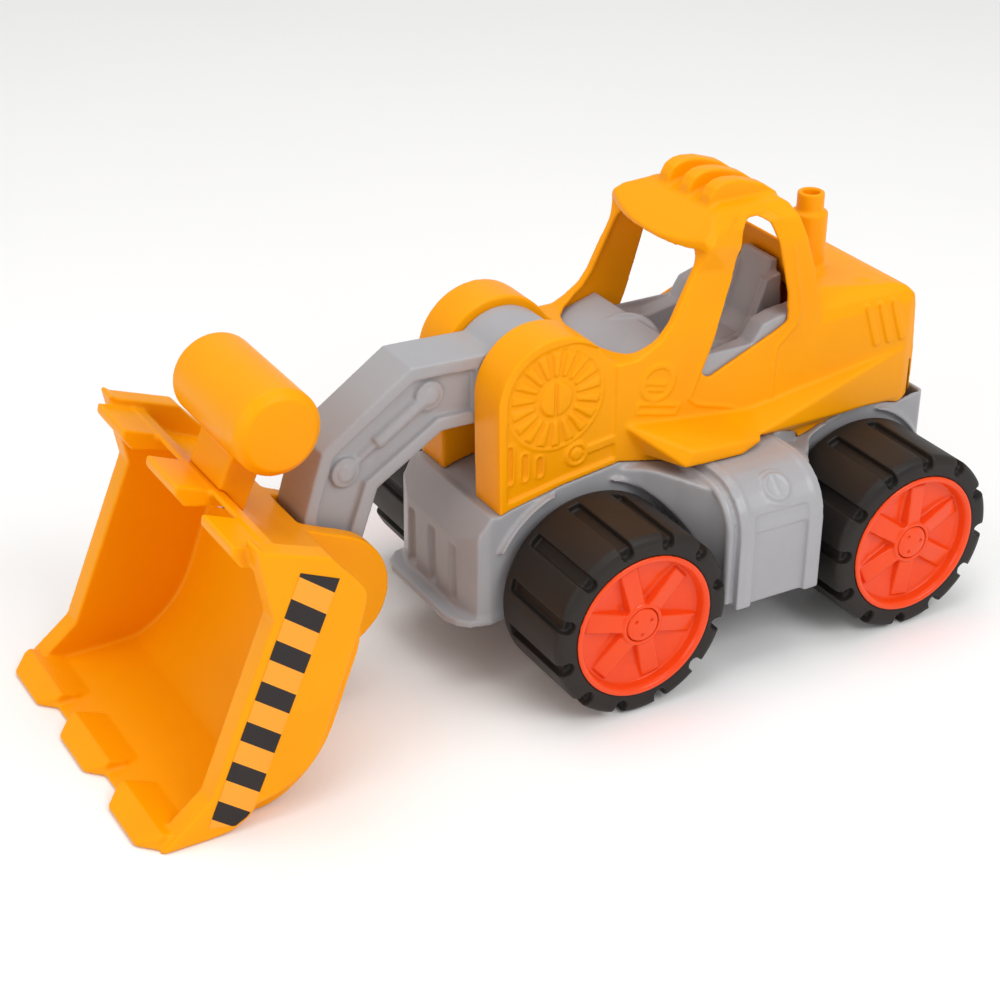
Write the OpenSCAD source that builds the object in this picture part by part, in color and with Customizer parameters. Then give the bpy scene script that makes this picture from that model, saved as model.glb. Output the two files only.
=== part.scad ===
// Toy wheel loader: ride height, arm and bucket as they stand with the bucket flat on the ground.
// +X points forwards to the bucket, +Y to the left, +Z up. The ground is z = 0.

/* [Wheels] */
// Radius of each tyre
tyre_r = 60; // [58:0.5:60]
// Width of each tyre
tyre_w = 68; // [62:1:68]
// Distance between the front and the rear axle
wheel_base = 204; // [202:1:206]
// Radius of the visible face of each rim
rim_r = 46.8; // [45:0.1:48]
// Number of grooves across each tread
groove_count = 12; // [10:1:16]
// Depth of the tread grooves
groove_depth = 4.2; // [2:0.1:4.5]

/* [Pins] */
// Radius of the steel axles and pins
pin_r = 4; // [3:0.5:4.5]
// Radial clearance where a part turns on a pin
run_gap = 0.06; // [0.03:0.01:0.1]

/* [Body] */
// Width of the chassis tub and of the body above it
body_w = 100; // [98:1:104]
// Wall thickness of the moulded shells
wall = 3; // [2.5:0.1:3.2]
// Radius of the round housings beside the arm
housing_r = 39.5; // [38:0.5:40]
// Distance from the middle to the inner face of a housing
housing_in = 19.4; // [19.3:0.1:20]
// Distance from the middle to the outer face of a housing
housing_out = 48.3; // [47:0.1:50]
// Distance from the middle to the outer face of the side steps
step_out = 118; // [110:1:120]

/* [Arm] */
// Position of the arm pivot ahead of the middle of the wheelbase
arm_x = 121.5; // [121:0.5:122]
// Height of the arm pivot
arm_z = 182.4; // [182:0.1:183]
// Radius of the arm's round hub
hub_r = 34.5; // [33:0.5:35]
// Half of the arm's width
arm_half = 18.9; // [18:0.1:19]
// Depth of the recess in each side of the arm
recess = 5; // [3:0.5:6]

/* [Bucket] */
// Position of the bucket pivot ahead of the middle of the wheelbase
tip_x = 264; // [263.5:0.5:264.5]
// Height of the bucket pivot
tip_z = 79; // [78.5:0.5:79.5]
// Half of the bucket's width inside
bucket_in = 98; // [94:1:98]
// Half of the bucket's width outside
bucket_out = 113.9; // [112:0.1:116]
// Radius of the ears that carry the bucket pin
ear_r = 39.5; // [36:0.5:40]
// Furthest point of the teeth ahead of the middle of the wheelbase
tooth_tip = 418; // [416:1:420]

/* [Handle] */
// Radius of the round grip
grip_r = 26.4; // [20:0.2:28]
// Half of the grip's length
grip_half = 48; // [40:1:60]
// Half of the stem's width
stem_half = 21.9; // [16:0.1:24]

/* [Hidden] */
$fn = 48;

yellow = [0.98, 0.66, 0.05];
grey = [0.57, 0.56, 0.57];
black = [0.16, 0.15, 0.14];
red = [0.94, 0.28, 0.11];
steel = [0.75, 0.76, 0.78];

half_w = body_w / 2;
axle_x = wheel_base / 2;
tyre_out = 123.2;
tyre_in = tyre_out - tyre_w;
rear_x = -166;
mid_x = (tooth_tip + rear_x) / 2;
floor_z = 42;
barrel_r = rim_r - 1.8;
axle_half = 112;
nut_y = 107;
cap_r = 11;
tread_t = 6.5;
groove_w = 8.4;
stem_lean = 24.2;
label_t = 0.4;

// Line along which the body shell sits on the chassis, from the nose to the rear
seam = [
    [159, 114], [152, 116.5], [117, 124.1], [76, 129.8], [40, 122], [-45, 118],
    [-56, 112], [-72, 116.5], [-96, 123.5], [-120, 125], [-140, 119.5], [-156, 123]
];
// Rounds an open line by cutting each of its corners once
function softened(p) = concat(
    [p[0]],
    [for (i = [0:len(p) - 2]) each [0.75 * p[i] + 0.25 * p[i + 1], 0.25 * p[i] + 0.75 * p[i + 1]]],
    [p[len(p) - 1]]
);
// Back and underside of the bucket, from the front of its floor to the rear edge of its shelf
scoop_back = softened(softened([
    [408, 0], [345, 0], [331, 3.5], [317, 12.8], [307, 23], [300, 34],
    [294.7, 46], [286, 70], [277, 93], [276.7, 127.5]
]));
// The same line on the inside, one wall thickness further in
scoop_inside = softened(softened([
    [440, 3.3], [345.5, 3.3], [332.5, 6.8], [319.5, 15.8], [310, 25.5], [303.2, 36],
    [298, 47.5], [289.4, 71.2], [280.3, 94], [280, 125]
]));
// Hollow behind the lip, which the handle's foot fills
valley = [[305, 139.5], [311, 143.5], [316.5, 151], [321.8, 159.8]];
screw_xy = [[-118, 30], [-118, -30], [140, 34], [140, -34]];
interior_screw_y = 20;
interior_screw_x = 12;
boss_top = 108;
seam_gap = 0.2;

// Places a shape drawn from the middle of the wheelbase into the part's own frame
module placed() {
    translate([-mid_x, 0, 0]) children();
}

// Extrudes a side view (x, z) from y0 to y1
module slab(y0, y1) {
    translate([0, y1, 0]) rotate([90, 0, 0]) linear_extrude(y1 - y0) children();
}

// Extrudes a front view (y, z) from x0 to x1
module beam(x0, x1) {
    translate([x0, 0, 0]) rotate([90, 0, 90]) linear_extrude(x1 - x0) children();
}

// Extrudes a top view (x, y) from z0 to z1
module plate(z0, z1) {
    translate([0, 0, z0]) linear_extrude(z1 - z0) children();
}

// A rectangle between two corners
module square_from(x0, x1, y0, y1) {
    translate([x0, y0]) square([x1 - x0, y1 - y0]);
}

module both_sides() {
    children();
    mirror([0, 1, 0]) children();
}

// A round bar along y
module rod(x, z, r, y0, y1) {
    translate([x, y1, z]) rotate([90, 0, 0]) cylinder(r = r, h = y1 - y0);
}

// A ball that a hull() call stretches into a rounded wedge
module knuckle(p, r = 1.5) {
    translate(p) sphere(r = r, $fn = 14);
}

// ---- Chassis ----

// Outline of the tub from above, or of its inside
module nose_plan(inset = 0) {
    side = half_w - inset;
    polygon([
        [rear_x + inset, -half_w + 6], [rear_x + 6, -side], [165.5, -side], [173 - inset, inset - 48],
        [178.5 - inset, -32], [178.5 - inset, 32], [173 - inset, 48 - inset], [165.5, side],
        [rear_x + 6, side], [rear_x + inset, half_w - 6]
    ]);
}

module tub_side() {
    polygon(concat(
        [[rear_x, 121.5], [rear_x, 50], [rear_x + 8, floor_z], [179, floor_z], [179, 93], [165, 114.3]],
        [for (p = seam) [p[0], p[1] - seam_gap]]
    ));
}

module tub_cavity() {
    polygon([
        [rear_x + wall, 150], [rear_x + wall, 52], [rear_x + 10, floor_z + wall],
        [175, floor_z + wall], [175, 91.5], [162.5, 110.8], [151, 113], [112, 121.5], [112, 150]
    ]);
}

// Outline of a side step seen from the front, with its rounded shoulder
module step_front(inset = 0) {
    polygon(concat(
        [[half_w - 1, 46.5], [step_out - inset, 46.5]],
        [for (a = [0:15:90]) [step_out - 32 + (32 - inset) * cos(a), 97 + (32 - inset) * sin(a)]],
        [[half_w - 1, 129 - inset]]
    ));
}

module side_step() {
    difference() {
        union() {
            beam(-31, 31) step_front(3.5);
            for (x = [-31, 20]) beam(x, x + 11) step_front();
            beam(-31, 31) intersection() {
                step_front();
                translate([half_w, 108]) square([step_out, 30]);
            }
            translate([0, 102.5, 115]) rotate([-43, 0, 0]) cylinder(r = 9.5, h = 8.4);
        }
        beam(-28, 28) translate([0, -0.1]) difference() {
            step_front(6.5);
            square([half_w + wall, 400], center = true);
        }
        translate([-40, -200, 0]) cube([80, 200 + half_w, 200]);
        translate([0, 102.5, 115]) rotate([-43, 0, 0]) translate([0, 0, 7.4])
            cube([14, 2.4, 4], center = true);
    }
}

// Curved wall between the tub and a side step, cut to clear the tyre. The outline is its side view.
module fender(outline, x) {
    intersection() {
        slab(half_w - 1, step_out) difference() {
            polygon(outline);
            translate([x, tyre_r]) circle(r = tyre_r + 4.5, $fn = 96);
        }
        plate(50, 140) polygon([
            [-80, half_w - 1], [-64, 58], [-50, 74], [-38, 92], [-30, 106],
            [30, 106], [38, 92], [50, 74], [64, 58], [80, half_w - 1]
        ]);
        beam(-80, 80) step_front(3.5);
    }
}

module wheel_arch_lip(x) {
    intersection() {
        difference() {
            rod(x, tyre_r, tyre_r + 5.5, half_w, tyre_in - 0.7);
            rod(x, tyre_r, tyre_r + 3, half_w - 2, tyre_in + 1);
        }
        translate([x - 80, 0, tyre_r + 30]) cube([160, 80, 30]);
    }
}

module chassis() {
    color(grey) placed() difference() {
        union() {
            difference() {
                intersection() {
                    slab(-half_w, half_w) tub_side();
                    plate(floor_z - 1, 140) nose_plan();
                }
                intersection() {
                    slab(wall - half_w, half_w - wall) tub_cavity();
                    plate(floor_z, 160) nose_plan(wall);
                }
                both_sides() translate([105, housing_in + wall, 100])
                    cube([44, housing_out - housing_in - 2 * wall, 40]);
                for (y = [-26, 0, 26]) translate([176, y - 4, 50]) cube([9, 8, 38]);
            }
            plate(floor_z, floor_z + 4.7) polygon([
                [150, -50], [166, -53], [179, -50], [186, -43], [189, -35],
                [189, 35], [186, 43], [179, 50], [166, 53], [150, 50]
            ]);
            both_sides() {
                side_step();
                fender([[30, 55], [30, 120.6], [40, 121.6], [76, 129.4], [80, 55]], axle_x);
                fender([[-30, 55], [-30, 118.2], [-45, 117.4], [-56, 111.6], [-68, 114], [-80, 55]], -axle_x);
            }
            both_sides() for (x = [-axle_x, axle_x]) {
                wheel_arch_lip(x);
                rod(x, tyre_r, 9, half_w - 12, half_w + 3);
            }
            for (p = screw_xy) translate([p[0], p[1], floor_z]) cylinder(r = 6.5, h = boss_top - floor_z);
            for (y = [-1, 1]) translate([interior_screw_x, y * interior_screw_y, floor_z])
                cylinder(r = 6, h = 150 - floor_z);
        }
        for (x = [-axle_x, axle_x]) rod(x, tyre_r, pin_r, -80, 80);
        for (p = screw_xy) translate([p[0], p[1], floor_z]) {
            translate([0, 0, -1]) cylinder(r = 4.2, h = boss_top - floor_z - 6);
            cylinder(r = 1.75, h = 200);
        }
        for (y = [-1, 1]) translate([interior_screw_x, y * interior_screw_y, 136])
            cylinder(r = 1.75, h = 20);
    }
}

// ---- Body shell with its cab ----

module cab_side() {
    polygon(concat(
        [
            [-70, 206], [-62, 236], [-53, 262], [-48, 271], [-39, 276.5], [-20, 278], [-2, 275.5],
            [10, 268.5], [20, 257], [41, 214], [48, 205], [57, 199], [66, 195], [79, 195], [79, 129.4]
        ],
        [for (i = [3:5]) seam[i]],
        [[-70, 116]]
    ));
}

module cab_front() {
    polygon([
        [-half_w, 100], [-half_w, 205], [-half_w + 1.5, 250], [-half_w + 5, 264], [-half_w + 13, 273],
        [-22, 277], [0, 279], [22, 277], [half_w - 13, 273], [half_w - 5, 264],
        [half_w - 1.5, 250], [half_w, 205], [half_w, 100]
    ]);
}

module deck_side() {
    polygon(concat(
        [for (i = [5:11]) seam[i]],
        [[-150.5, 186], [-148.5, 194], [-143, 200], [-134, 202.6], [-72, 208], [-60, 209]]
    ));
}

module deck_front() {
    polygon([
        [-half_w, 100], [-half_w, 190], [-half_w + 2.5, 198], [-half_w + 8, 203.5], [-34, 207], [0, 209],
        [34, 207], [half_w - 8, 203.5], [half_w - 2.5, 198], [half_w, 190], [half_w, 100]
    ]);
}

module body_plan() {
    polygon([
        [-157, -36], [-153, -46], [-143, -half_w], [79, -half_w],
        [79, half_w], [-143, half_w], [-153, 46], [-157, 36]
    ]);
}

module housing_side() {
    translate([arm_x, arm_z]) circle(r = housing_r, $fn = 96);
    polygon([
        [79, 129.4], [117, 124.1], [152, 116.5], [159, 114], [159.6, 118],
        [arm_x + housing_r, arm_z], [arm_x, arm_z + 20], [90, 205], [79, 195]
    ]);
}

module side_window() {
    offset(r = 3, $fn = 24) offset(delta = -3) polygon([
        [-23, 267.5], [-30.5, 263], [-35.5, 251], [-44.8, 214], [-45.2, 197],
        [-38, 193], [12, 172], [18, 175.6], [10.6, 194], [-4.5, 247], [-10.5, 263], [-15, 267]
    ]);
}

module windscreen() {
    offset(r = 9, $fn = 32) offset(delta = -9) polygon([
        [-44, 201], [44, 201], [43, 254], [-43, 254]
    ]);
}

// Outline from above of the windscreen's foot, where the dash shows
module windscreen_foot() {
    polygon([
        [38, -43.5], [52, -43.5], [62, -40], [69, -33], [73.5, -22], [75.5, -8],
        [75.5, 8], [73.5, 22], [69, 33], [62, 40], [52, 43.5], [38, 43.5]
    ]);
}

module visor() {
    intersection() {
        slab(-55.3, 55.3) polygon([
            [31, 252.5], [31, 256.8], [21, 263.5], [9, 271], [-4, 275.5], [-12, 272], [4, 266], [16, 258.5]
        ]);
        translate([31 - 144.5, 0, 240]) cylinder(r = 144.5, h = 60, $fn = 160);
        beam(-20, 40) polygon([
            [-55.3, 250], [-54.5, 258], [-48.5, 266.5], [-34, 274], [0, 279],
            [34, 274], [48.5, 266.5], [54.5, 258], [55.3, 250]
        ]);
    }
}

// Side of the roof's front edge, which flares out to the end of the visor
module visor_side() {
    hull() {
        for (p = [
            [18.5, 53.2, 259.3], [14, 50, 264.5], [24, 47.2, 243], [4, 47.3, 241],
            [-12, 46.5, 252], [-10, 44, 262], [0, 41.5, 268.5]
        ]) knuckle(p);
    }
}

module roof_rib(y) {
    slab(y - 5.5, y + 5.5) polygon([
        [4, 273], [3, 279], [0, 284], [-5, 286.8], [-11, 287.4], [-20, 286.6], [-36, 281.5], [-47, 274], [-44, 268]
    ]);
}

module exhaust() {
    translate([-95, 0, 200]) {
        cylinder(r = 14, h = 9);
        cylinder(r = 11.8, h = 44.5);
        cylinder(r = 8.8, h = 57.5);
    }
}

module running_board() {
    hull() {
        for (p = [
            [72, half_w - 1, 153], [58, half_w - 1, 132], [45, 76.5, 131.6], [39.5, 75.5, 139],
            [4, 77, 131], [4, 75.5, 136.5], [-12, 72, 133], [-24, half_w - 1, 142],
            [-24, half_w - 1, 131.5], [22, 54, 144.5]
        ]) knuckle(p);
    }
}

module rear_flare() {
    difference() {
        hull() {
            for (p = [
                [-20, half_w - 1, 143], [-18, 67, 135], [-34, 61, 131], [-34, half_w - 1, 120],
                [-141, half_w - 1, 158.5], [-141, half_w - 1, 124]
            ]) knuckle(p);
        }
        rod(-axle_x, tyre_r, tyre_r + 6, half_w, 90);
        slab(0, half_w + 0.1) tub_side();
        translate([-31.2, half_w, 100]) cube([62.4, 40, 29.1]);
    }
}

module shell_hollow() {
    intersection() {
        slab(-half_w, half_w) offset(delta = -wall) union() {
            cab_side();
            polygon([[-70, 117], [70, 130], [70, 90], [-70, 90]]);
        }
        beam(-90, 90) offset(delta = -wall) cab_front();
        slab(-half_w, half_w) polygon([[-200, 60], [76, 60], [76, 300], [-67, 300], [-67, 208], [-200, 208]]);
    }
    intersection() {
        slab(-half_w, half_w) offset(delta = -wall) union() {
            deck_side();
            polygon([[-156, 124], [-60, 124], [-60, 80], [-156, 80]]);
            polygon([[-60, 209], [-30, 200], [-30, 80], [-60, 80]]);
        }
        beam(-157, -40) offset(delta = -wall) deck_front();
    }
}

module housing() {
    difference() {
        slab(housing_in, housing_out) housing_side();
        slab(housing_in + wall, housing_out - wall) offset(delta = -wall) union() {
            housing_side();
            polygon([[76, 133], [159, 133], [159, 90], [76, 90]]);
            polygon([[60, 90], [60, 191], [90, 191], [90, 90]]);
        }
    }
    rod(arm_x, arm_z, 9, housing_in + 1, housing_out - 1);
}

module body_shell() {
    color(yellow) placed() difference() {
        union() {
            difference() {
                union() {
                    intersection() {
                        slab(-half_w, half_w) cab_side();
                        beam(-90, 90) cab_front();
                    }
                    intersection() {
                        slab(-half_w, half_w) deck_side();
                        beam(-157, -60) deck_front();
                        plate(90, 220) body_plan();
                    }
                    for (y = [-22, 0, 22]) roof_rib(y);
                    visor();
                    both_sides() visor_side();
                    both_sides() running_board();
                    both_sides() rear_flare();
                }
                shell_hollow();
                slab(-80, 80) side_window();
                beam(12, 60) windscreen();
                plate(191, 262) windscreen_foot();
                beam(-75, -40) offset(r = 5, $fn = 24) square_from(-25, 25, 242, 254);
            }
            exhaust();
            both_sides() housing();
            for (p = screw_xy) translate([p[0], p[1], boss_top]) cylinder(r = 5, h = p[0] < 0 ? 97 : 20);
            for (p = screw_xy) if (p[0] > 0) translate([p[0] - 2, p[1] - 13, boss_top + 12])
                cube([4, 26, 6]);
        }
        rod(arm_x, arm_z, pin_r, -44, 44);
        for (p = screw_xy) translate([p[0], p[1], boss_top - 1]) cylinder(r = 1.75, h = 17);
        translate([-95, 0, 246]) cylinder(r = 5.6, h = 20);
    }
}

// ---- Cab interior ----

module seat() {
    slab(-15.5, 15.5) polygon([
        [-62, 153], [-12, 153], [-12, 172], [-16, 176], [-36, 177], [-44, 184], [-50, 205], [-55, 224], [-60.5, 224],
        [-62, 176]
    ]);
    both_sides() slab(15, 22) polygon([
        [-62, 153], [-14, 153], [-14, 172], [-18, 177], [-30, 178], [-40, 190], [-48, 214], [-59, 217], [-62, 176]
    ]);
}

// Half disc of the steering wheel, leaning back out of the dash
module steering_dome() {
    translate([38.5, 6.5, 191.5]) rotate([0, 0, 24.7]) rotate([-13.8, 0, 0]) rotate([0, -38.5, 0]) intersection() {
        translate([-7, 0, -13.6]) rotate([0, 90, 0]) cylinder(r = 24.6, h = 7);
        translate([-8, -21, -5]) cube([9, 42, 17]);
    }
}

module cab_interior() {
    color(grey) placed() difference() {
        union() {
            difference() {
                translate([-64, -46.8, 150]) cube([139, 93.6, 36]);
                translate([-61, -43.8, 153]) cube([133, 87.6, 60]);
            }
            difference() {
                slab(-46.8, 46.8) polygon([[75, 150], [75, 188], [62, 190.5], [36, 198], [27, 190], [27, 150]]);
                slab(-43.8, 43.8) polygon([[72, 140], [72, 185.5], [61, 187.5], [37, 194.5], [30, 188.5], [30, 140]]);
            }
            steering_dome();
            seat();
            both_sides() slab(32, 46.8) polygon([
                [-64, 153], [27, 153], [27, 184], [3, 180.5], [-21, 185], [-28.5, 197], [-40, 200.5], [-64, 203]
            ]);
        }
        for (y = [-1, 1]) translate([interior_screw_x, y * interior_screw_y, 149])
            cylinder(r = 2.2, h = 6);
    }
}

// ---- Lift arm ----

module arm_side() {
    translate([arm_x, arm_z]) circle(r = hub_r, $fn = 96);
    translate([tip_x, tip_z]) circle(r = 16.3, $fn = 64);
    polygon([
        [arm_x, arm_z + 20], [147, 206], [201, 208], [260, 167], [272.4, 126.5], [272.4, 100],
        [tip_x + 15, tip_z + 6], [tip_x, tip_z - 10], [tip_x - 13.5, tip_z - 9],
        [234.6, 104.7], [224, 135.4], [181, 162.4], [150, 162], [arm_x, arm_z - 20]
    ]);
}

module arm_recess() {
    polygon([
        [158, 171], [183.5, 171.3], [232, 141], [243.5, 108.5], [264.5, 108.5],
        [263.8, 125], [252.5, 161.5], [198.5, 198.7], [158, 197.5]
    ]);
}

module arm_cavity() {
    difference() {
        offset(delta = -3.5) arm_side();
        translate([arm_x, arm_z]) circle(r = 10);
        translate([tip_x, tip_z]) circle(r = 14);
    }
}

// Moulded ram between two collared pins in the recess
module arm_ram() {
    y0 = arm_half - recess - 1;
    rod(188.3, 186.3, 9.5, y0, arm_half - 1.6);
    rod(188.3, 186.3, 5, y0, arm_half);
    rod(243.8, 149.7, 9.5, y0, arm_half - 1.6);
    rod(243.8, 149.7, 5, y0, arm_half);
    translate([188.3, y0 + 1, 186.3]) rotate([0, 33.4, 0]) {
        rotate([0, 90, 0]) cylinder(r = 2.8, h = 60);
        rotate([0, 90, 0]) cylinder(r = 5, h = 42);
    }
}

module lift_arm() {
    color(grey) placed() difference() {
        union() {
            difference() {
                slab(-arm_half, arm_half) arm_side();
                both_sides() slab(arm_half - recess, arm_half + 1) arm_recess();
                slab(-arm_half + recess + wall, arm_half - recess - wall) arm_cavity();
            }
            both_sides() arm_ram();
        }
        rod(arm_x, arm_z, pin_r + run_gap, -30, 30);
        rod(tip_x, tip_z, pin_r + run_gap, -30, 30);
    }
}

// ---- Bucket ----

module scoop_inner() {
    polygon(concat(
        scoop_inside,
        [[303, 134.8], [310, 138.5], [318, 147.5], [325, 157], [329.2, 160.2], [400, 215], [440, 215]]
    ));
}

module side_wall() {
    polygon(concat(
        scoop_back,
        [[303, 138.7], [299.6, 152], [299.6, 157.3], [338.2, 171], [341.2, 173.9], [343.1, 173.2],
         [334.8, 127.6], [377.2, 24.9]]
    ));
}

module cheek() {
    polygon(concat(
        [[343.1, 173.2], [341.2, 173.9], [338.2, 171], [299.6, 157.3]],
        softened(softened([
            [294.5, 150.7], [281.1, 135.1], [277.9, 128.1], [283.9, 107.7], [299.4, 67],
            [304.5, 52.6], [310.7, 35.8], [319.3, 25.1], [336.1, 16.4], [350.1, 13.7]
        ])),
        [[354.4, 7.4], [365.2, 1.3], [377.3, 0], [408, 0], [377.2, 24.9], [334.8, 127.6]]
    ));
}

module lip_block(y0, y1) {
    slab(y0, y1) polygon([
        [321.8, 159.8], [350.5, 171.2], [351.5, 165.5], [346, 156.5], [329, 152.5], [319, 148.8], [316.5, 151]
    ]);
}

module tooth(y) {
    intersection() {
        slab(y - 40, y + 40) polygon([
            [386, 1], [386, 3.3], [405, 10], [tooth_tip, 3.2], [tooth_tip, 1], [416, 0], [390, 0]
        ]);
        plate(-1, 20) polygon([
            [380, y - 22], [396, y - 29.5], [408, y - 29.5], [tooth_tip, y - 19.5],
            [tooth_tip, y + 19.5], [408, y + 29.5], [396, y + 29.5], [380, y + 22]
        ]);
    }
}

module ear() {
    slab(housing_in + 0.1, 31) difference() {
        union() {
            translate([tip_x, tip_z]) circle(r = ear_r, $fn = 96);
            polygon([
                [252, 117], [262, 121], [276.7, 127.5], [305, 139.5], [310, 100], [300, 34],
                [290, 44], [tip_x, tip_z - 30]
            ]);
        }
        scoop_inner();
    }
}

module bucket() {
    color(yellow) placed() difference() {
        union() {
            difference() {
                slab(-bucket_in - 1, bucket_in + 1) polygon(concat(scoop_back, valley, [[329.2, 163.7], [408, 3]]));
                slab(-bucket_in - 2, bucket_in + 2) scoop_inner();
            }
            both_sides() {
                slab(bucket_in, bucket_in + 3.5) side_wall();
                difference() {
                    slab(bucket_in, bucket_out) cheek();
                    slab(bucket_in + wall, bucket_out - wall) offset(delta = -wall) cheek();
                }
                lip_block(57, bucket_in + 1);
                ear();
            }
            lip_block(-22, 22);
            for (y = [-79, 0, 79]) tooth(y);
        }
        rod(tip_x, tip_z, 17.6, -housing_in - 0.1, housing_in + 0.1);
        rod(tip_x, tip_z, pin_r, -31.5, 31.5);
        both_sides() handle_screw_axis() {
            translate([0, 0, -10]) cylinder(r = 1.75, h = 30);
            translate([0, 0, -20]) cylinder(r = 3.7, h = 19);
        }
    }
}

// ---- Handle ----

// Frame of a screw that holds the handle: it runs along the stem's axis
module handle_screw_axis() {
    translate([319.3, 12, 149.3]) rotate([0, -stem_lean, 0]) children();
}

module bucket_handle() {
    rise = [-sin(stem_lean), cos(stem_lean)];
    color(yellow) placed() difference() {
        union() {
            slab(-stem_half, stem_half) polygon(concat(
                [for (i = [1:3]) valley[i]],
                [[325.3, 161.65], [325.3, 161.65] + 38 * rise, valley[1] + 50 * rise]
            ));
            rod(297.4, 200.6, grip_r, -grip_half + 5, grip_half - 5);
            both_sides() translate([297.4, grip_half - 5, 200.6]) rotate([-90, 0, 0])
                cylinder(r1 = grip_r, r2 = grip_r - 5, h = 5);
        }
        rod(297.4, 200.6, grip_r - 3.5, -grip_half + 4, grip_half - 4);
        both_sides() handle_screw_axis() cylinder(r = 1.75, h = 18);
    }
}

// ---- Wheels ----

module tyre() {
    mid = (tyre_out + tyre_in) / 2;
    half = tyre_w / 2;
    color(black) difference() {
        translate([0, mid, tyre_r]) rotate([90, 0, 0]) rotate_extrude($fn = 128) polygon([
            [barrel_r, 1 - half], [barrel_r + 2, 1 - half], [barrel_r + 2, -half], [tyre_r - 5, -half],
            [tyre_r - 1.6, -half + 1.4],
            [tyre_r, -half + 4.5], [tyre_r, half - 4.5], [tyre_r - 1.6, half - 1.4], [tyre_r - 5, half],
            [barrel_r + 2, half], [barrel_r, half - 2], [barrel_r, half - 6], [barrel_r + 4, half - 6],
            [tyre_r - tread_t - 2, half - 6], [tyre_r - tread_t, half - 10], [tyre_r - tread_t, 10 - half],
            [tyre_r - tread_t - 2, 6 - half], [barrel_r + 4, 6 - half], [barrel_r, 6 - half]
        ]);
        for (i = [0:groove_count - 1]) translate([0, 0, tyre_r]) rotate([0, (i + 0.5) * 360 / groove_count, 0])
            translate([-groove_w / 2, tyre_in + 9, tyre_r - groove_depth]) cube([groove_w, tyre_w, groove_depth + 2]);
    }
}

module rim() {
    bore = pin_r + run_gap;
    color(red) translate([0, 0, tyre_r]) rotate([-90, 0, 0]) {
        rotate_extrude($fn = 128) polygon([
            [bore, 60], [8.5, 60], [8.5, 99], [cap_r + 2, 102], [cap_r + 2, tyre_out - 11], [30, tyre_out - 11],
            [barrel_r - 3, tyre_out - 6], [barrel_r - 3, 58], [barrel_r, 58], [barrel_r, tyre_out - 0.9],
            [rim_r, tyre_out - 0.9], [rim_r, tyre_out], [rim_r - 1, tyre_out + 1], [rim_r - 3.5, tyre_out + 1],
            [rim_r - 5, tyre_out - 2], [30, tyre_out - 7.5], [cap_r, tyre_out - 8], [cap_r, nut_y], [bore, nut_y]
        ]);
        for (i = [0:5]) rotate([0, 0, i * 60]) translate([7.5, -1.5, 62]) cube([36, 3, 36]);
    }
}

module hub_cap() {
    color(red) translate([0, 0, tyre_r]) rotate([-90, 0, 0]) {
        translate([0, 0, axle_half + 0.3]) cylinder(r = cap_r, h = tyre_out - 3 - axle_half - 0.3);
        translate([0, 0, tyre_out - 3]) cylinder(r1 = cap_r, r2 = cap_r - 2.5, h = 2);
    }
}

// Places a wheel part drawn at the origin for the left side
module at_wheel(x, right) {
    placed() translate([x, 0, 0]) mirror([0, right ? 1 : 0, 0]) children();
}

// ---- Pins, axles and fasteners ----

module axle(x) {
    color(steel) placed() rod(x, tyre_r, pin_r, -axle_half, axle_half);
}

module axle_push_nuts() {
    color(steel) placed() for (x = [-axle_x, axle_x]) translate([x, 0, 0]) both_sides() difference() {
        rod(0, tyre_r, 7, nut_y + 0.3, nut_y + 2.3);
        rod(0, tyre_r, pin_r, nut_y - 1, nut_y + 4);
    }
}

// A screw along +z with its head below z = 0
module screw(length) {
    translate([0, 0, -2.4]) cylinder(r = 3.4, h = 2.4);
    translate([0, 0, -0.5]) cylinder(r = 1.75, h = length + 0.5);
}

module body_screws() {
    color(steel) placed() for (p = screw_xy) translate([p[0], p[1], boss_top - 7]) screw(22);
}

module interior_screws() {
    color(steel) placed() for (y = [-1, 1]) translate([interior_screw_x, y * interior_screw_y, 153])
        mirror([0, 0, 1]) screw(16);
}

module handle_screws() {
    color(steel) placed() both_sides() handle_screw_axis() translate([0, 0, -1]) screw(16);
}

module hazard_label() {
    color(yellow) slab(bucket_out, bucket_out + label_t) polygon([
        [318.8, 154], [296.1, 144.2], [352.5, 13.6], [357, 8.6], [364, 5], [380, 8.8]
    ]);
}

chassis();
body_shell();
cab_interior();
lift_arm();
bucket();
bucket_handle();
color(steel) placed() rod(arm_x, arm_z, pin_r, -44, 44);  // arm_pivot_pin
color(steel) placed() rod(tip_x, tip_z, pin_r, -31, 31);  // bucket_pivot_pin
axle(axle_x);  // front_axle
axle(-axle_x);  // rear_axle
at_wheel(axle_x, false) tyre();  // front_left_tyre
at_wheel(axle_x, true) tyre();  // front_right_tyre
at_wheel(-axle_x, false) tyre();  // rear_left_tyre
at_wheel(-axle_x, true) tyre();  // rear_right_tyre
at_wheel(axle_x, false) rim();  // front_left_rim
at_wheel(axle_x, true) rim();  // front_right_rim
at_wheel(-axle_x, false) rim();  // rear_left_rim
at_wheel(-axle_x, true) rim();  // rear_right_rim
at_wheel(axle_x, false) hub_cap();  // front_left_hub_cap
at_wheel(axle_x, true) hub_cap();  // front_right_hub_cap
at_wheel(-axle_x, false) hub_cap();  // rear_left_hub_cap
at_wheel(-axle_x, true) hub_cap();  // rear_right_hub_cap
axle_push_nuts();
body_screws();
interior_screws();
handle_screws();
placed() hazard_label();  // hazard_label_left
placed() mirror([0, 1, 0]) hazard_label();  // hazard_label_right
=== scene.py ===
"""Toy wheel loader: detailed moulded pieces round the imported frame.

Lengths in the shapes are millimetres from the middle of the wheelbase, on the
ground. at() turns them into the frame's metres. Floor, lights and camera are
in metres.
"""

import math

import bmesh
import bpy
from mathutils import Matrix, Vector


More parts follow.
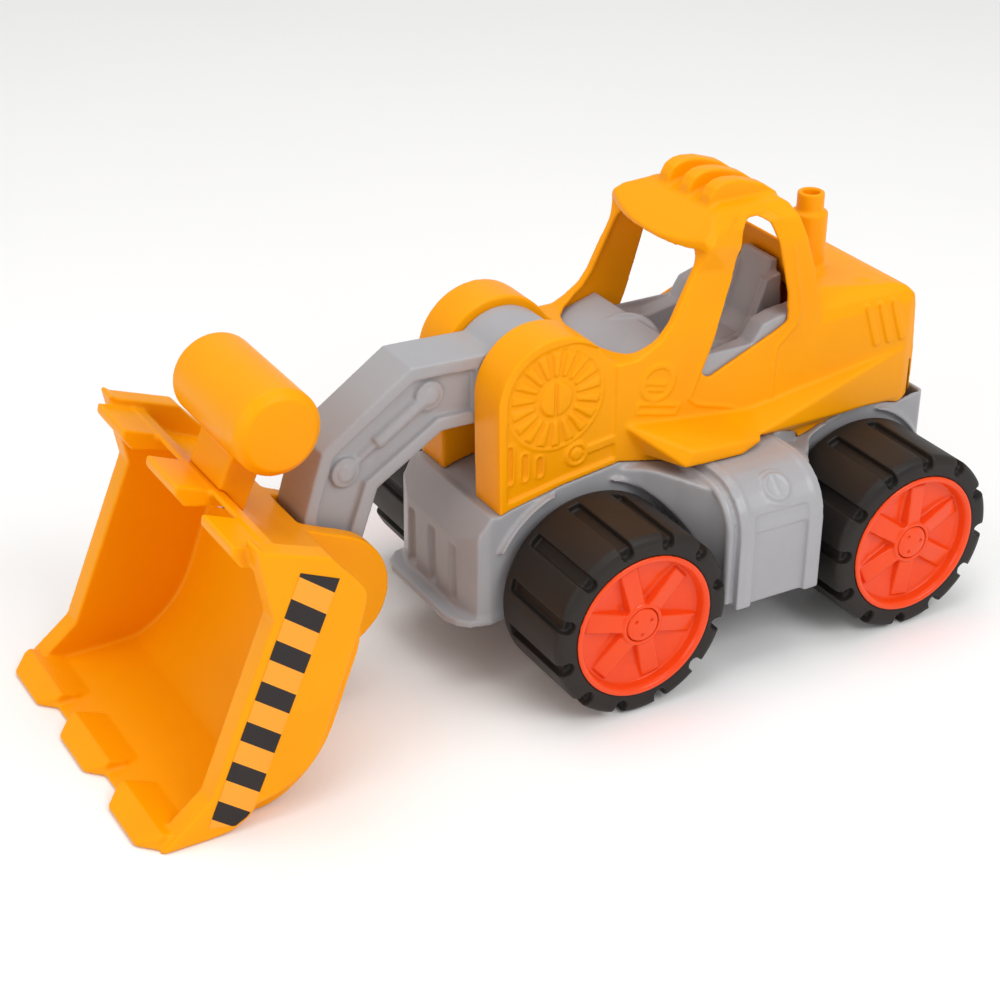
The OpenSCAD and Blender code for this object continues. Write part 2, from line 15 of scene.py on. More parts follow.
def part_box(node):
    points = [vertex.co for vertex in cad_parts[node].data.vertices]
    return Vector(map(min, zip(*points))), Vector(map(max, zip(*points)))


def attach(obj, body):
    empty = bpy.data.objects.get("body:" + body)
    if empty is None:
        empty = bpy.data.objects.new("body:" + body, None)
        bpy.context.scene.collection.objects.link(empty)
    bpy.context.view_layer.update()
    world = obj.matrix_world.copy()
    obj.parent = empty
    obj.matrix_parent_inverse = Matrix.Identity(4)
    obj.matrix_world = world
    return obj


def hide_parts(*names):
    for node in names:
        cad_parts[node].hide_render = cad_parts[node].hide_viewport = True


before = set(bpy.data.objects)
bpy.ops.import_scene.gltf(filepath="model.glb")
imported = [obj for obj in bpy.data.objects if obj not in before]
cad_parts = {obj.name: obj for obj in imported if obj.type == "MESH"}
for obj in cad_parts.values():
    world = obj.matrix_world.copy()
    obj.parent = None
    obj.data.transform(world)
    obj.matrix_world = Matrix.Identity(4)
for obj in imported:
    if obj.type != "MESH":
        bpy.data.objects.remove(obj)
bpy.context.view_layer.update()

MM = 0.001
# Half the wheelbase, and the height of the axles
HALF_BASE = 102.0
AXLE_Z = 60.0
front_lo, front_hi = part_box("front_axle")
MID_X = (front_lo.x + front_hi.x) / 2 - HALF_BASE * MM
TYRE_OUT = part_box("front_left_tyre")[1].y / MM
TYRE_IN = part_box("front_left_tyre")[0].y / MM
# Half widths of the body: its flat side, and the panel sunk into each fan housing
SIDE = 50.0
HOUSING_SIDE = 48.3
# Half width of the cab at some heights, as it leans inwards: (height, half width)
CAB_SIDE = ((205, SIDE), (250, 48.5), (264, 45.0), (273, 37.0))
# Centre of the fan housings and of the arm's pivot: (forwards, up)
PIVOT = (121.5, 182.4)
# Most triangles that a moulding keeps
TRIANGLE_LIMIT = 180000
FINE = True
QUICK_STEPS = 2


def at(x, y, z):
    """A point in millimetres from the middle of the wheelbase, in the frame's metres."""
    return Vector((MID_X + x * MM, y * MM, z * MM))


# ---- Mesh helpers ----


def on_side(u, v, w):
    """Places an outline drawn in side view: u forwards, v up, w outwards along y."""
    return at(u, w, v)


def side_y(z):
    """Half width of the cab at a height."""
    for (z0, y0), (z1, y1) in zip(CAB_SIDE, CAB_SIDE[1:]):
        if z <= z1:
            return y0 + (y1 - y0) * max(0.0, z - z0) / (z1 - z0)
    return CAB_SIDE[-1][1]


def on_cab(u, v, w):
    """Like on_side, but a depth of SIDE follows the cab's side as it leans inwards."""
    return at(u, w - SIDE + side_y(v), v)


def on_wheel(u, v, w):
    """Places an outline drawn on the front left wheel's face, from its centre."""
    return at(HALF_BASE + u, w, AXLE_Z + v)


def turned(angle, place, centre=(0.0, 0.0)):
    """A place whose u axis points outwards from centre at an angle in degrees."""
    c, s = math.cos(math.radians(angle)), math.sin(math.radians(angle))
    return lambda u, v, w: place(centre[0] + u * c - v * s, centre[1] + u * s + v * c, w)


def frustum(bm, foot, crown, low, high, place=on_side):
    """A closed block from its foot outline at depth low to its crown outline at depth high.

    high may be a function of the crown's point.
    """
    depth = high if callable(high) else (lambda u, v: high)
    base = [bm.verts.new(place(u, v, low)) for u, v in foot]
    top = [bm.verts.new(place(u, v, depth(u, v))) for u, v in crown]
    count = len(foot)
    bm.faces.new(base[::-1])
    bm.faces.new(top)
    for i in range(count):
        j = (i + 1) % count
        bm.faces.new((base[i], base[j], top[j], top[i]))


def prism(bm, outline, low, high, place=on_side):
    """A closed prism between two depths. high may be a function of the outline's point."""
    frustum(bm, outline, outline, low, high, place)


def lathe(bm, profile, place, centre=(0.0, 0.0), steps=144):
    """Turns a closed outline of (radius, depth) points about an axis through centre."""
    rings = []
    for i in range(steps):
        c, s = math.cos(2 * math.pi * i / steps), math.sin(2 * math.pi * i / steps)
        rings.append([
            bm.verts.new(place(centre[0] + r * c, centre[1] + r * s, w)) for r, w in profile
        ])
    count = len(profile)
    for i in range(steps):
        a, b = rings[i], rings[(i + 1) % steps]
        for k in range(count):
            n = (k + 1) % count
            bm.faces.new((a[k], b[k], b[n], a[n]))


def circle(centre, radius, start=0.0, stop=360.0, steps=48):
    """Points of an arc between two angles in degrees, or of a whole circle."""
    last = steps if abs(stop - start) >= 360 else steps - 1
    return [
        (
            centre[0] + radius * math.cos(math.radians(start + (stop - start) * i / last)),
            centre[1] + radius * math.sin(math.radians(start + (stop - start) * i / last)),
        )
        for i in range(steps)
    ]


def pill(a, b, width):
    """Outline of a bar with round ends from a to b."""
    angle = math.degrees(math.atan2(b[1] - a[1], b[0] - a[0]))
    far_end = circle(b, width / 2, angle - 90, angle + 90, 12)
    near_end = circle(a, width / 2, angle + 90, angle + 270, 12)
    return far_end + near_end


def ring(bm, centre, inner, outer, low, high, place=on_side, steps=72):
    """A flat ring between two radii and two depths."""
    lathe(bm, [(inner, low), (outer, low), (outer, high), (inner, high)], place, centre, steps)


def ribbon(bm, line, width, low, high, place=on_cab):
    """A raised bead along a closed line, made of bars with round ends."""
    for a, b in zip(line, line[1:] + line[:1]):
        prism(bm, pill(a, b, width), low, high, place)


def tube(bm, line, x, radius, steps=20):
    """A closed round bar along a line of (y, z) points in the plane at x."""
    rings = []
    for i, (y, z) in enumerate(line):
        ahead, behind = line[min(i + 1, len(line) - 1)], line[max(i - 1, 0)]
        along = Vector((ahead[0] - behind[0], ahead[1] - behind[1])).normalized()
        points = []
        for k in range(steps):
            c, s = math.cos(2 * math.pi * k / steps), math.sin(2 * math.pi * k / steps)
            point = at(x + radius * c, y + radius * s * along.y, z - radius * s * along.x)
            points.append(bm.verts.new(point))
        rings.append(points)
    for a, b in zip(rings, rings[1:]):
        for k in range(steps):
            n = (k + 1) % steps
            bm.faces.new((a[k], b[k], b[n], a[n]))
    bm.faces.new(rings[0][::-1])
    bm.faces.new(rings[-1])


def mirrored(bm):
    """Adds the mirror image across y = 0 of everything drawn so far."""
    kept = bm.verts[:] + bm.edges[:] + bm.faces[:]
    made = bmesh.ops.duplicate(bm, geom=kept)["geom"]
    for v in made:
        if isinstance(v, bmesh.types.BMVert):
            v.co.y = -v.co.y


def as_object(name, bm):
    """A linked object from closed meshes, with every face turned outwards."""
    bmesh.ops.recalc_face_normals(bm, faces=bm.faces[:])
    mesh = bpy.data.meshes.new(name)
    bm.to_mesh(mesh)
    bm.free()
    piece = bpy.data.objects.new(name, mesh)
    bpy.context.scene.collection.objects.link(piece)
    return piece


def applied(piece, kind, **settings):
    """Applies one modifier to the piece's mesh."""
    modifier = piece.modifiers.new(kind.title(), kind)
    for key, value in settings.items():
        setattr(modifier, key, value)
    old = piece.data
    graph = bpy.context.evaluated_depsgraph_get()
    piece.data = bpy.data.meshes.new_from_object(piece.evaluated_get(graph))
    piece.modifiers.clear()
    bpy.data.meshes.remove(old)


def cad_copy(node):
    """A welded copy of a CAD node's mesh, as a bmesh."""
    bm = bmesh.new()
    bm.from_mesh(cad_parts[node].data)
    bmesh.ops.remove_doubles(bm, verts=bm.verts[:], dist=1e-6)
    return bm


def moulded(name, base, added=None, cuts=(), voxel=0.8, rounds=3, soft=0, limit=TRIANGLE_LIMIT):
    """Fuses a body and its raised details into one moulding with softened edges.

    base and added are bmeshes of closed solids. cuts are bmeshes of solids to take away,
    and the solids in one of them don't touch each other. voxel is the mesh size. soft is
    the number of smoothing steps that round the body's own edges before the details are
    fused on, and rounds the number of steps after that.
    """
    piece = as_object(name, base)
    for cut in cuts:
        cutter = as_object(name + "_cut", cut)
        applied(piece, "BOOLEAN", operation="DIFFERENCE", solver="MANIFOLD", object=cutter)
        bpy.data.objects.remove(cutter)
    if soft:
        applied(piece, "REMESH", mode="VOXEL", voxel_size=(1.0 if FINE else 1.8) * MM)
        applied(piece, "SMOOTH", factor=0.5, iterations=soft if FINE else QUICK_STEPS)
    if added is not None:
        extra = as_object(name + "_add", added)
        bm = bmesh.new()
        bm.from_mesh(piece.data)
        bm.from_mesh(extra.data)
        bm.to_mesh(piece.data)
        bm.free()
        bpy.data.objects.remove(extra)
    size = voxel if FINE else max(1.6, voxel)
    applied(piece, "REMESH", mode="VOXEL", voxel_size=size * MM)
    applied(piece, "SMOOTH", factor=0.5, iterations=rounds if FINE else QUICK_STEPS)
    triangles = 2 * len(piece.data.polygons)
    if FINE and triangles > limit:
        applied(piece, "DECIMATE", ratio=limit / triangles)
    for face in piece.data.polygons:
        face.use_smooth = True
    return piece


# ---- Materials ----


def plastic(name, colour, deep, roughness, grain, pebble, shine, drift_scale=14.0):
    """Moulded plastic: slow colour drift, fine speckle, moulding grain and rubbed gloss.

    deep is the darker colour of the drift. grain and pebble are the strengths of the fine
    and the coarse bumps, and shine is the specular level.
    """
    material = bpy.data.materials.new(name)
    material.use_nodes = True
    tree = material.node_tree
    nodes, links = tree.nodes, tree.links
    shader = nodes["Principled BSDF"]
    shader.inputs["Specular IOR Level"].default_value = shine
    place = nodes.new("ShaderNodeTexCoord")

    def noise(scale, detail):
        node = nodes.new("ShaderNodeTexNoise")
        node.inputs["Scale"].default_value = scale
        node.inputs["Detail"].default_value = detail
        links.new(place.outputs["Object"], node.inputs["Vector"])
        return node.outputs["Fac"]

    drift = noise(drift_scale, 4.0)
    speck = noise(1400.0, 2.0)
    ramp = nodes.new("ShaderNodeValToRGB")
    ramp.color_ramp.elements[0].position = 0.34
    ramp.color_ramp.elements[0].color = (*deep, 1)
    ramp.color_ramp.elements[1].position = 0.62
    ramp.color_ramp.elements[1].color = (*colour, 1)
    # the speckle's share, added to the drift
    blend = nodes.new("ShaderNodeMath")
    blend.operation = "MULTIPLY_ADD"
    blend.inputs[1].default_value = 0.18
    links.new(speck, blend.inputs[0])
    links.new(drift, blend.inputs[2])
    links.new(blend.outputs[0], ramp.inputs["Fac"])
    links.new(ramp.outputs["Color"], shader.inputs["Base Color"])
    gloss = nodes.new("ShaderNodeMapRange")
    gloss.inputs["To Min"].default_value = roughness - 0.05
    gloss.inputs["To Max"].default_value = roughness + 0.07
    links.new(noise(60.0, 5.0), gloss.inputs["Value"])
    links.new(gloss.outputs["Result"], shader.inputs["Roughness"])
    fine = nodes.new("ShaderNodeBump")
    fine.inputs["Strength"].default_value = grain
    fine.inputs["Distance"].default_value = 0.0002
    links.new(noise(2200.0, 2.0), fine.inputs["Height"])
    peel = nodes.new("ShaderNodeBump")
    peel.inputs["Strength"].default_value = pebble
    peel.inputs["Distance"].default_value = 0.0006
    links.new(noise(130.0, 2.0), peel.inputs["Height"])
    links.new(fine.outputs["Normal"], peel.inputs["Normal"])
    links.new(peel.outputs["Normal"], shader.inputs["Normal"])
    return material


def brushed(name):
    """Bright steel rod with fine lines round it."""
    material = bpy.data.materials.new(name)
    material.use_nodes = True
    nodes, links = material.node_tree.nodes, material.node_tree.links
    shader = nodes["Principled BSDF"]
    shader.inputs["Metallic"].default_value = 1.0
    place = nodes.new("ShaderNodeTexCoord")
    stretch = nodes.new("ShaderNodeMapping")
    stretch.inputs["Scale"].default_value = (40.0, 2600.0, 40.0)
    lines = nodes.new("ShaderNodeTexNoise")
    lines.inputs["Scale"].default_value = 1.0
    lines.inputs["Detail"].default_value = 3.0
    links.new(place.outputs["Object"], stretch.inputs["Vector"])
    links.new(stretch.outputs["Vector"], lines.inputs["Vector"])
    tint = nodes.new("ShaderNodeValToRGB")
    tint.color_ramp.elements[0].color = (0.42, 0.42, 0.44, 1)
    tint.color_ramp.elements[1].color = (0.66, 0.66, 0.68, 1)
    links.new(lines.outputs["Fac"], tint.inputs["Fac"])
    links.new(tint.outputs["Color"], shader.inputs["Base Color"])
    gloss = nodes.new("ShaderNodeMapRange")
    gloss.inputs["To Min"].default_value = 0.22
    gloss.inputs["To Max"].default_value = 0.42
    links.new(lines.outputs["Fac"], gloss.inputs["Value"])
    links.new(gloss.outputs["Result"], shader.inputs["Roughness"])
    return material


YELLOW = plastic("yellow_plastic", (0.92, 0.345, 0.0), (0.88, 0.315, 0.0),
                 roughness=0.36, grain=0.10, pebble=0.05, shine=0.13)
GREY = plastic("grey_plastic", (0.36, 0.358, 0.375), (0.32, 0.317, 0.333),
               roughness=0.3, grain=0.12, pebble=0.06, shine=0.4)
BLACK = plastic("tyre_plastic", (0.018, 0.0145, 0.0125), (0.012, 0.010, 0.009),
                roughness=0.48, grain=0.3, pebble=0.12, shine=0.25)
RED = plastic("red_plastic", (0.83, 0.066, 0.008), (0.77, 0.054, 0.006),
              roughness=0.2, grain=0.05, pebble=0.04, shine=0.3)
LABEL = plastic("label_orange", (0.93, 0.36, 0.03), (0.9, 0.34, 0.026),
                roughness=0.3, grain=0.05, pebble=0.04, shine=0.2)
STRIPE = plastic("label_black", (0.022, 0.017, 0.016), (0.017, 0.013, 0.013),
                 roughness=0.34, grain=0.05, pebble=0.04, shine=0.25)
STEEL = brushed("steel_rod")


def finish_piece(piece, body, slot, material, *nodes):
    """Gives a piece its material and body, and hides the CAD nodes it stands for. slot is not
    used.
    """
    piece.data.materials.clear()
    piece.data.materials.append(material)
    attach(piece, body)
    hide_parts(*nodes)


# ---- Wheels ----

GROOVES = 12
VANES = 6
# Turn of each tyre and of each rim, in degrees from straight ahead towards the top
TYRE_TURN = {"front_left": 15.0, "rear_left": 5.0, "front_right": 10.0, "rear_right": 22.0}
RIM_TURN = {"front_left": 16.2, "rear_left": 35.3, "front_right": 50.0, "rear_right": 4.0}


def tyre_mesh():
    """The front left tyre: a wide barrel with grooves that wrap over the outer shoulder."""
    low, high = TYRE_IN, TYRE_OUT
    bm = bmesh.new()
    lathe(bm, [
        (45.2, low + 2), (47, low), (55, low), (58.4, low + 1.4), (60, low + 4.4),
        (60, high - 4.8), (59.3, high - 2.6), (57.6, high - 1), (55, high - 0.2), (51.5, high),
        (47.3, high), (46.9, high - 1.2), (45.2, high - 1.2),
    ], on_wheel)
    grooves, notches = bmesh.new(), bmesh.new()
    tread = [(55.4, -4.1), (64, -4.7), (64, 4.7), (55.4, 4.1)]
    shoulder = circle((54.4, 0), 4.2, 90, 270, 14) + [(66, -4.5), (66, 4.5)]
    for i in range(GROOVES):
        place = turned(360 / GROOVES * i, on_wheel)
        prism(grooves, tread, low + 9, high + 3, place)
        prism(notches, shoulder, high - 5.4, high + 3, place)
    return moulded("tyre", bm, cuts=(grooves, notches), voxel=0.75, rounds=2, limit=110000)


def rim_mesh():
    """The front left rim: a thick outer ring round a dish with six slanted vanes."""
    out = TYRE_OUT
    bm = bmesh.new()
    lathe(bm, [
        (4.06, 60), (9.5, 60), (13, out - 15), (34, out - 14), (42.6, out - 11), (42.6, 58),
        (45, 58), (45, out - 0.9), (46.8, out - 0.9), (46.8, out), (46.2, out + 0.8),
        (45, out + 1), (43.4, out + 0.5), (42.2, out - 1.4), (41.4, out - 6.6),
        (30, out - 8.4), (15.6, out - 8.8), (14.2, out - 6), (14, out - 2.8),
        (13.2, out - 1.9), (11.3, out - 1.7), (11.1, out - 14), (4.06, out - 14),
    ], on_wheel)
    foot = [(13.2, -7.6), (42.3, -8.2), (42.3, 7.6), (13.2, 7.2)]
    crown = [(13.2, -5.6), (38.6, -6.4), (38.6, 5.8), (13.2, 5.2)]
    web = [(7.5, -1.5), (43, -1.5), (43, 1.5), (7.5, 1.5)]

    def slanted(u, v):
        return out - 2.6 - 0.07 * (u - 13) - 0.13 * (v + 4)

    for i in range(VANES):
        place = turned(360 / VANES * i, on_wheel)
        frustum(bm, foot, crown, out - 10.5, slanted, place)
        prism(bm, web, 62, 98, place)
    return moulded("rim", bm, voxel=0.65, rounds=3, limit=110000)


def hub_mesh():
    """The glossy domed cap over the axle's end, with three dimples."""
    out = TYRE_OUT
    bm = bmesh.new()
    lathe(bm, [
        (0.05, out - 10.7), (10.9, out - 10.7), (10.9, out - 2.9), (10.2, out - 1.8),
        (7.5, out - 1.2), (4, out - 1.0), (0.05, out - 0.95),
    ], on_wheel, steps=96)
    cut = bmesh.new()
    for angle in (20, 140, 260):
        dimple = circle((6.2, 0), 1.1, steps=20)
        prism(cut, dimple, out - 2.6, out + 2, turned(angle, on_wheel))
    return moulded("hub_cap", bm, cuts=(cut,), voxel=0.35, rounds=2, limit=40000)


wheel_parts = [
    (tyre_mesh(), "tyre", "tyre_plastic", BLACK, TYRE_TURN),
    (rim_mesh(), "rim", "red_plastic", RED, RIM_TURN),
    (hub_mesh(), "hub_cap", "red_plastic", RED, RIM_TURN),
]
hub = Matrix.Translation(at(HALF_BASE, 0, AXLE_Z))
for end, shift in (("front", 0.0), ("rear", -2 * HALF_BASE * MM)):
    for side, sign in (("left", 1), ("right", -1)):
        for source, part, slot_name, material, turn in wheel_parts:
            angle = -math.radians(turn[f"{end}_{side}"])
            spin = hub @ Matrix.Rotation(angle, 4, "Y") @ hub.inverted()
            to_wheel = Matrix.Translation((shift, 0, 0)) @ Matrix.Diagonal((1, sign, 1, 1))
            mesh = source.data.copy()
            mesh.transform(to_wheel @ spin)
            if sign < 0:
                mesh.flip_normals()
            node = f"{end}_{side}_{part}"
            piece = bpy.data.objects.new(node + "_moulding", mesh)
            bpy.context.scene.collection.objects.link(piece)
            finish_piece(piece, f"{end}_{side}_wheel", slot_name, material, node)
for source, *_ in wheel_parts:
    bpy.data.objects.remove(source)

# ---- Body shell ----

# Outline of the bead round the cab's door: (forwards, up)
DOOR = [
    (26.7, 161.5), (10.9, 202), (0.5, 235.4), (-8.6, 264.5), (-14.6, 270.2), (-27.9, 270.6),
    (-38.2, 264.6), (-46.3, 245.6), (-50.2, 225.2), (-54.4, 206.3), (-51.1, 194), (-37.3, 181.7),
    (-35.8, 165.6), (-36, 145.5), (-22, 133.9), (-6.1, 147.9), (20.7, 156.1),
]
# Cooling slots of the housings: (forwards, top), with their foot's height and their width
SLOTS = ((152.2, 158), (141.9, 151), (131.7, 146.6))
SLOT_FOOT = 135.4
SLOT_WIDTH = 4.4
RIBS = 18


def crescent():
    """Outline of the flange round a housing's recessed panel, which fades out over the top."""
    outer = circle(PIVOT, 39.3, 0, 138, 40)
    inner = []
    for i in range(40):
        angle = 134 * (1 - i / 39)
        radius = 33.8 + 5.0 * max(0.0, (angle - 84) / 50) ** 1.5
        inner.append((
            PIVOT[0] + radius * math.cos(math.radians(angle)),
            PIVOT[1] + radius * math.sin(math.radians(angle)),
        ))
    foot = [(154.4, 121.4), (117, 128.4), (79, 133.6), (79, 129.6), (117, 124.3), (152, 116.7),
            (158.8, 114.4), (159.4, 118)]
    return outer + inner + foot


def slot_outline(x, top, width):
    """Outline of one cooling slot, or of the rim round it."""
    return pill((x, SLOT_FOOT), (x, top - SLOT_WIDTH / 2), width)


def body_details():
    """Raised details of the body, drawn on the left and mirrored."""
    bm = bmesh.new()
    low = HOUSING_SIDE - 0.8
    prism(bm, crescent(), low, SIDE + 0.3)
    # fan: ribs, a thin outer bead and a slotted boss
    foot = [(14.2, -1.5), (30.8, -3.3), (30.8, 3.3), (14.2, 1.5)]
    crown = [(15.4, -1.0), (29.8, -2.5), (29.8, 2.5), (15.4, 1.0)]
    for i in range(RIBS):
        spoke = turned(360 / RIBS * (i + 0.5), on_side, PIVOT)
        frustum(bm, foot, crown, low, HOUSING_SIDE + 1.7, spoke)
    ring(bm, PIVOT, 31.8, 33.4, low, HOUSING_SIDE + 0.9)
    for start in (-82, 98):
        prism(bm, circle(PIVOT, 10.6, start, start + 164, 30), low, HOUSING_SIDE + 1.7)
    # boss with its bar
    ring(bm, (106.3, 142.5), 5.6, 7.8, low, HOUSING_SIDE + 1.5)
    prism(bm, circle((106.3, 142.5), 3.8, steps=32), low, HOUSING_SIDE + 1.7)
    prism(bm, pill((98.5, 143.5), (79, 146), 5.0), low, HOUSING_SIDE + 1.3)
    # rims of the three cooling slots
    for x, top in SLOTS:
        inner, outer = slot_outline(x, top, SLOT_WIDTH), slot_outline(x, top, SLOT_WIDTH + 2)
        for i in range(len(inner)):
            j = (i + 1) % len(inner)
            prism(bm, [inner[i], outer[i], outer[j], inner[j]], low, HOUSING_SIDE + 1.0)
    # filler cap and badge bar on the cab's side
    ring(bm, (50.4, 177.4), 9.6, 12.4, SIDE - 1, SIDE + 1.0)
    prism(bm, pill((46, 175.4), (60, 179.6), 2.4), SIDE - 1, SIDE + 1.0)
    prism(bm, pill((46.5, 171.6), (57, 174.4), 1.6), SIDE - 1, SIDE + 0.9)
    ribbon(bm, [(64.2, 166), (34.4, 158.7), (36.6, 153.5), (64.6, 160.3)], 1.6,
           SIDE - 1, SIDE + 0.9)
    ribbon(bm, DOOR, 1.7, SIDE - 1.8, SIDE + 0.9)
    # louvres in the rear flanks
    for x in (-108.2, -118.7, -129.0):
        prism(bm, pill((x - 0.6, 193), (x - 9.2, 168), 5.0), SIDE - 2, SIDE + 1.4)
    mirrored(bm)
    return bm


def body_cuts():
    """The three cooling slots, sunk into each housing."""
    cut = bmesh.new()
    for x, top in SLOTS:
        prism(cut, slot_outline(x, top, SLOT_WIDTH), HOUSING_SIDE - 1.3, HOUSING_SIDE + 4)
    mirrored(cut)
    return cut


body = moulded("body_moulding", cad_copy("body_shell"), body_details(), (body_cuts(),),
               voxel=0.8, rounds=2, soft=7)
finish_piece(body, "vehicle", "yellow_plastic", YELLOW, "body_shell")

# ---- Chassis and cab interior ----

# Half width over the side steps, and the radius and centre height of their round shoulder
STEP_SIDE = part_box("chassis")[1].y / MM
SHOULDER = 32.0
SHOULDER_Z = 97.0


def step_line(inset):
    """The side step's outline seen from the front, from its foot over the shoulder to the tub."""
    arc = circle((STEP_SIDE - SHOULDER, SHOULDER_Z), SHOULDER - inset, 0, 90, 16)
    rise = [(STEP_SIDE - inset, 50), (STEP_SIDE - inset, 75)]
    top = SHOULDER_Z + SHOULDER - inset
    return rise + arc + [(66, top), (51, top)]


def on_front(u, v, w):
    """Places an outline drawn in front view: u to the left, v up, w forwards along x."""
    return at(w, u, v)


def on_boss(u, v, w):
    """Places an outline drawn on the step's slotted boss, which faces outwards and up.

    w is the distance from the shoulder's centre.
    """
    y = STEP_SIDE - SHOULDER + 0.682 * w - 0.731 * v
    return at(u, y, SHOULDER_Z + 0.731 * w + 0.682 * v)


def chassis_details():
    """Round ribs, upper plate and slotted boss of each side step, and the web behind it."""
    bm = bmesh.new()
    for x, radius, inset in ((25.4, 5.2, 4.6), (-25.4, 5.2, 4.6), (34.2, 3.0, 7.4)):
        tube(bm, step_line(inset), x, radius)
    # upper plate: only the round part of the step's line, made thick
    arc = step_line(2.2)[2:-2]
    prism(bm, arc + [(y - 2.4, z - 2.4) for y, z in arc][::-1], -21, 21, on_front)
    prism(bm, circle((0, 0), 12.0, steps=48), 25.5, 30.4, on_boss)
    ring(bm, (0, 0), 10.2, 12.0, 26, 31.2, on_boss)
    prism(bm, circle((0, 0), 8.7, steps=48), 26, 32.2, on_boss)
    ring(bm, (0, 0), 7.4, 8.9, 26, 33.4, on_boss)
    prism(bm, [(-0.9, -8.2), (0.9, -8.2), (0.9, 8.2), (-0.9, 8.2)], 26, 33.2, on_boss)
    # web from the step back to the rear flare
    prism(bm, [(48, 108), (62.5, 108), (62.5, 129.4), (61, 128.8), (48, 117.6)], -30,
          lambda u, v: -36 - (62.5 - u) * 1.7, on_front)
    mirrored(bm)
    return bm


chassis = moulded("chassis_moulding", cad_copy("chassis"), chassis_details(),
                  voxel=0.85, rounds=2, soft=6)
finish_piece(chassis, "vehicle", "grey_plastic", GREY, "chassis")

interior = moulded("interior_moulding", cad_copy("cab_interior"), voxel=0.75, rounds=2, soft=3)
finish_piece(interior, "vehicle", "grey_plastic", GREY, "cab_interior")

# ---- Arm and bucket ----

arm = moulded("arm_moulding", cad_copy("lift_arm"), voxel=0.8, rounds=2, soft=4)
finish_piece(arm, "arm", "grey_plastic", GREY, "lift_arm")

bucket = moulded("bucket_moulding", cad_copy("bucket"), voxel=0.85, rounds=2, soft=3)
finish_piece(bucket, "scoop", "yellow_plastic", YELLOW, "bucket")

handle = moulded("handle_moulding", cad_copy("bucket_handle"), voxel=0.8, rounds=2, soft=5,
                 limit=120000)
finish_piece(handle, "scoop", "yellow_plastic", YELLOW, "bucket_handle")

# ---- Hazard labels ----

# The direction across the slanted stripes, their number, and where they start along it
STRIPE_NORMAL = Vector((0.612, 0, -0.791))
STRIPES = 8
STRIPE_START, STRIPE_PITCH, STRIPE_WIDTH = 63.9, 24.1, 11.4


def striped_label(side):
    """A label plate cut along its stripes, so that each stripe is its own faces."""
    node = "hazard_label_" + side
    bm = cad_copy(node)
    for i in range(STRIPES):
        for offset in (0.0, STRIPE_WIDTH):
            reach = STRIPE_START + i * STRIPE_PITCH + offset
            point = at(0, 0, 0) + STRIPE_NORMAL * reach * MM / STRIPE_NORMAL.length_squared
            everything = bm.verts[:] + bm.edges[:] + bm.faces[:]
            bmesh.ops.bisect_plane(bm, geom=everything, plane_co=point, plane_no=STRIPE_NORMAL)
    piece = as_object(node + "_print", bm)
    finish_piece(piece, "scoop", "label_vinyl", LABEL, node)
    piece.data.materials.append(STRIPE)
    for face in piece.data.polygons:
        along = (face.center - at(0, 0, 0)).dot(STRIPE_NORMAL) / MM - STRIPE_START
        face.material_index = 1 if along > 0 and along % STRIPE_PITCH < STRIPE_WIDTH else 0


for side in ("left", "right"):
    striped_label(side)

# ---- Steel parts keep their CAD shape ----

for name in ("arm_pivot_pin", "bucket_pivot_pin", "front_axle", "rear_axle", "axle_push_nuts",
             "body_screws", "interior_screws", "handle_screws"):
    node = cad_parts[name]
    node.data.materials.clear()
    node.data.materials.append(STEEL)

# ---- Floor, lights and camera ----

# Half the floor's width, and how far it lies below the wheels so that no faces coincide
FLOOR_REACH = 7.0
FLOOR_GAP = 0.0004


def floor():
    """A plain pale floor with a barely visible mottle."""
    bm = bmesh.new()
    bmesh.ops.create_grid(bm, x_segments=8, y_segments=8, size=FLOOR_REACH)
    mesh = bpy.data.meshes.new("floor")
    bm.to_mesh(mesh)
    bm.free()
    piece = bpy.data.objects.new("floor", mesh)
    bpy.context.scene.collection.objects.link(piece)
    piece.location.z = -FLOOR_GAP
    paint = plastic("floor_paint", (0.93, 0.93, 0.93), (0.92, 0.92, 0.92),
                    roughness=0.7, grain=0.0, pebble=0.0, shine=0.2, drift_scale=3.0)
    mesh.materials.append(paint)


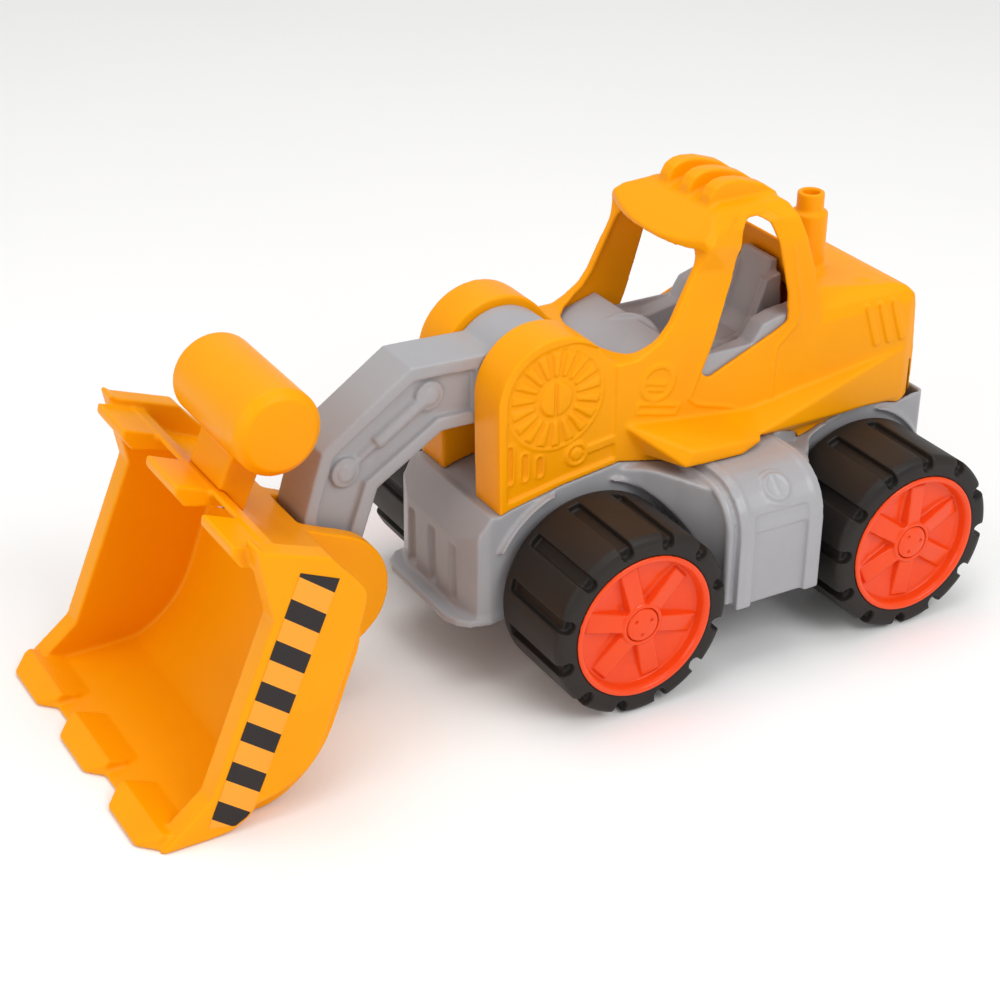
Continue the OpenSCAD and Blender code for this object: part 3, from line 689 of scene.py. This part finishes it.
def softbox(name, place, target, size, power):
    """A rectangular area light of a size in metres and a power in watts, aimed at target."""
    light = bpy.data.lights.new(name, "AREA")
    light.shape = "RECTANGLE"
    light.size, light.size_y = size
    light.energy = power
    lamp = bpy.data.objects.new(name, light)
    bpy.context.scene.collection.objects.link(lamp)
    lamp.location = place
    lamp.rotation_euler = (Vector(target) - Vector(place)).to_track_quat("-Z", "Y").to_euler()


floor()
softbox("key_softbox", (-0.6, 1.9, 1.9), (0, 0, 0.08), size=(1.5, 1.2), power=27)
softbox("front_softbox", (1.9, 0.6, 1.1), (0, 0, 0.1), size=(1.2, 1.2), power=10)
softbox("top_softbox", (0.1, -0.2, 2.3), (0, 0, 0.1), size=(1.6, 1.6), power=17)

world = bpy.data.worlds.new("studio")
bpy.context.scene.world = world
world.use_nodes = True
backdrop = world.node_tree.nodes["Background"]
backdrop.inputs["Color"].default_value = (1.0, 0.995, 0.985, 1)
backdrop.inputs["Strength"].default_value = 0.62
bpy.context.scene.view_settings.view_transform = "Standard"

# The photograph's camera: place in metres, direction in degrees, lens and sensor in millimetres
CAMERA_AT = (0.5990, 1.0162, 0.7354)
AZIMUTH, ELEVATION, ROLL = (math.radians(v) for v in (149.6628, 28.5733, 0.6821))
LENS, SENSOR = 77.63, 36.0
back = Vector((
    math.sin(AZIMUTH) * math.cos(ELEVATION),
    -math.cos(AZIMUTH) * math.cos(ELEVATION),
    math.sin(ELEVATION),
))
right = Vector((math.cos(AZIMUTH), math.sin(AZIMUTH), 0))
up = back.cross(right)
tilted_right = right * math.cos(ROLL) + up * math.sin(ROLL)
tilted_up = up * math.cos(ROLL) - right * math.sin(ROLL)
lens = bpy.data.cameras.new("camera")
lens.lens, lens.sensor_width = LENS, SENSOR
camera = bpy.data.objects.new("camera", lens)
bpy.context.scene.collection.objects.link(camera)
camera.matrix_world = (
    Matrix.Translation(CAMERA_AT)
    @ Matrix((tilted_right, tilted_up, back)).transposed().to_4x4()
)
bpy.context.scene.camera = camera
